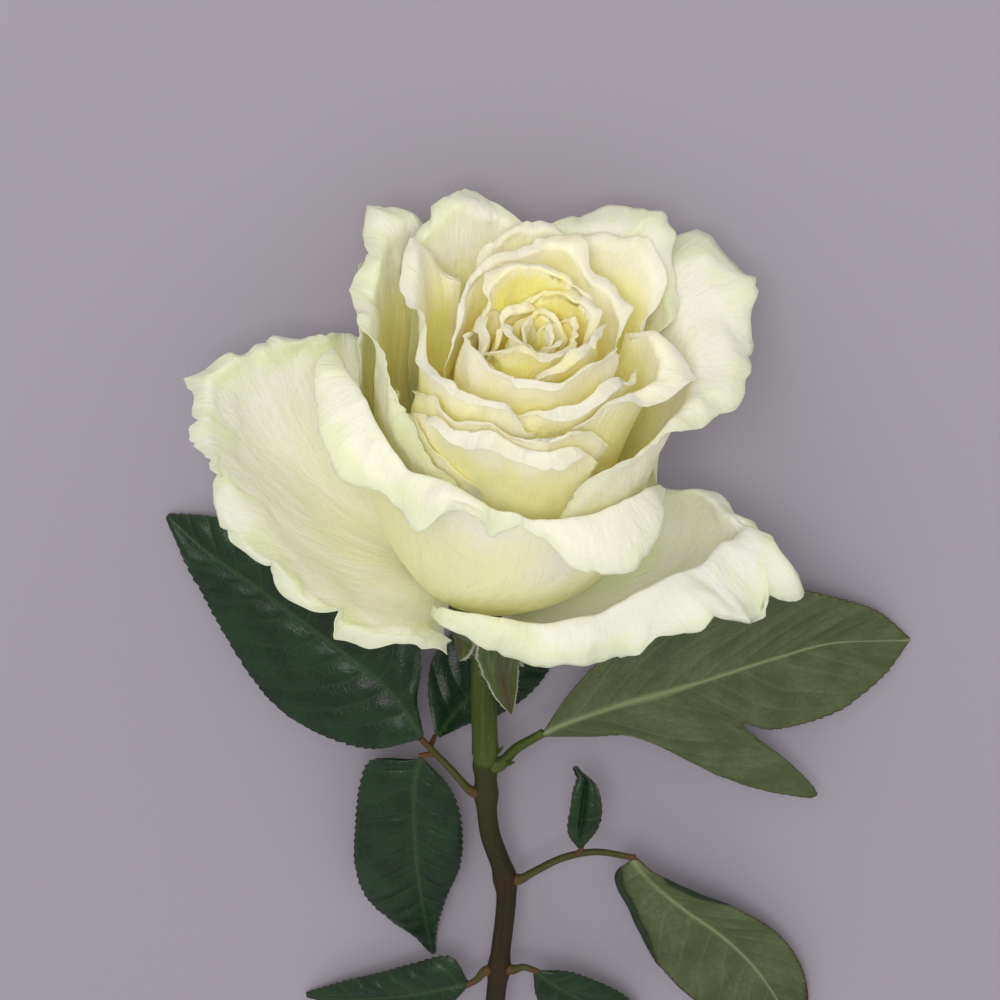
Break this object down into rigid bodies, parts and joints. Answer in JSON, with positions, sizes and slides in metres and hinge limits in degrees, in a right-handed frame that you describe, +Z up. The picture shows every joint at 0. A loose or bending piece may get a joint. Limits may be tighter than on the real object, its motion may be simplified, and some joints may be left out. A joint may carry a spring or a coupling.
{
  "type": "cut rose",
  "caption": "Cut garden rose lying on its side: a full, spiralling cream bloom with open guard petals, folded sepals, thorny stem and toothed leaves.",
  "frame": {"origin": "centre of the bounding box, on the table the rose lies on", "axes": "+Z up from the table, +Y along the stem from the cut end towards the bloom, +X to the bloom's right as seen from above with the bloom at the far end"},
  "size_m": [0.1602, 0.3112, 0.0734],
  "materials": {
    "petal_heart": "soft satin, warm yellow-cream",
    "petal": "soft satin, cream white",
    "petal_guard": "soft satin, cream white with pale green margins",
    "sepal": "matt green",
    "stalk": "satin green",
    "stem": "satin brown-green",
    "petiole": "satin reddish",
    "leaf_top": "glossy dark green",
    "leaf_underside": "matt grey-green"
  },
  "bodies": {
    "root": {"flower_stalk": "stalk", "leaf_right": "leaf_underside", "leaflet_foot_left": "leaf_top", "leaflet_foot_right": "leaf_top", "leaflet_left_back": "leaf_top", "leaflet_left_end": "leaf_top", "leaflet_left_low": "leaf_top", "leaflet_lower_long": "leaf_underside", "leaflet_lower_upright": "leaf_top", "petal_back_inner": "petal", "petal_back_left": "petal", "petal_back_outer": "petal", "petal_bud_front": "petal", "petal_bud_inner": "petal", "petal_crown_flap": "petal", "petal_crown_left": "petal", "petal_crown_right": "petal", "petal_front": "petal", "petal_guard_back_left": "petal_guard", "petal_guard_back_right": "petal_guard", "petal_guard_left": "petal_guard", "petal_guard_right": "petal_guard", "petal_heart_1": "petal_heart", "petal_heart_10": "petal_heart", "petal_heart_11": "petal_heart", "petal_heart_12": "petal_heart", "petal_heart_2": "petal_heart", "petal_heart_3": "petal_heart", "petal_heart_4": "petal_heart", "petal_heart_5": "petal_heart", "petal_heart_6": "petal_heart", "petal_heart_7": "petal_heart", "petal_heart_8": "petal_heart", "petal_heart_9": "petal_heart", "petal_left": "petal", "petal_left_peek": "petal", "petal_left_yellow": "petal", "petal_right": "petal", "petal_ring_back": "petal", "petal_ring_front": "petal", "petal_seat": "sepal", "petiole_foot_left": "petiole", "petiole_foot_right": "petiole", "petiole_left": "petiole", "petiole_lower": "petiole", "petiole_right": "stalk", "prickle_1": "petiole", "prickle_2": "petiole", "prickle_3": "petiole", "sepal_1": "sepal", "sepal_2": "sepal", "sepal_3": "sepal", "sepal_4": "sepal", "sepal_5": "sepal", "stem": "stem"}
  },
  "joints": []
}
